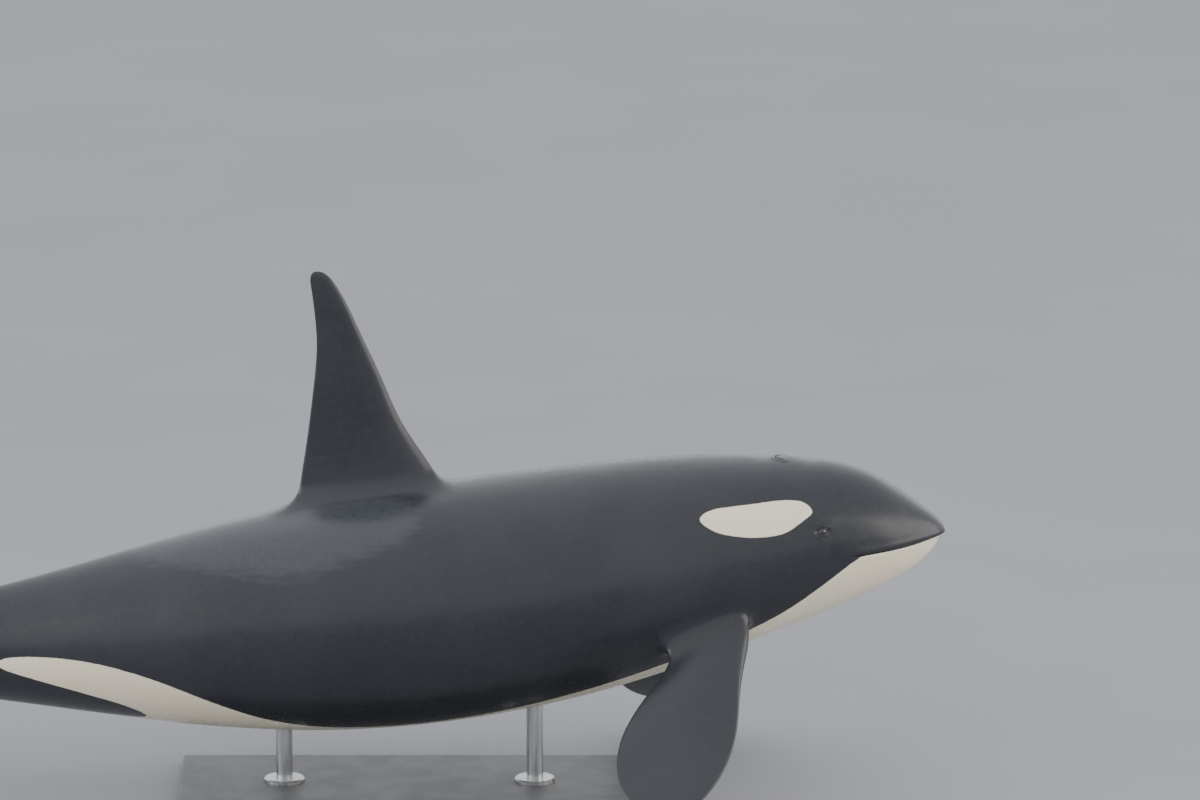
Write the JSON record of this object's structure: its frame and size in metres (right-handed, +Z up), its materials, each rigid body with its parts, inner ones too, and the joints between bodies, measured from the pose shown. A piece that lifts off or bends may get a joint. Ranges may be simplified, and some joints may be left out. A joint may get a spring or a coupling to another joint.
{
  "type": "life-size orca display model on a stand",
  "caption": "Life-size bull orca, tall upright dorsal fin, black with white eye patches and belly, swimming nose-up on a flat base with short rods",
  "frame": {"origin": "the centre of the stand base's underside, on the floor", "axes": "+X runs towards the animal's snout, +Y to its left side and +Z up; the plane Y = 0 halves the animal"},
  "size_m": [6.9522, 2.5824, 2.8758],
  "materials": {
    "black_skin": "smooth wet black skin, satin to glossy",
    "white_skin": "smooth wet white skin, satin to glossy",
    "eye": "polished dark brown",
    "base_plate": "satin dark grey coat",
    "rod_steel": "brushed"
  },
  "bodies": {
    "root": {"head": "black_skin", "lower_jaw": "white_skin", "chest": "black_skin", "trunk": "black_skin", "abdomen": "black_skin", "tail_stock": "black_skin", "dorsal_fin": "black_skin", "flipper_right": "black_skin", "flipper_left": "black_skin", "fluke_right": "black_skin", "fluke_left": "black_skin", "eye_right": "eye", "eye_left": "eye", "stand_base": "base_plate", "stand_rod_front": "rod_steel", "stand_rod_rear": "rod_steel"}
  },
  "joints": []
}
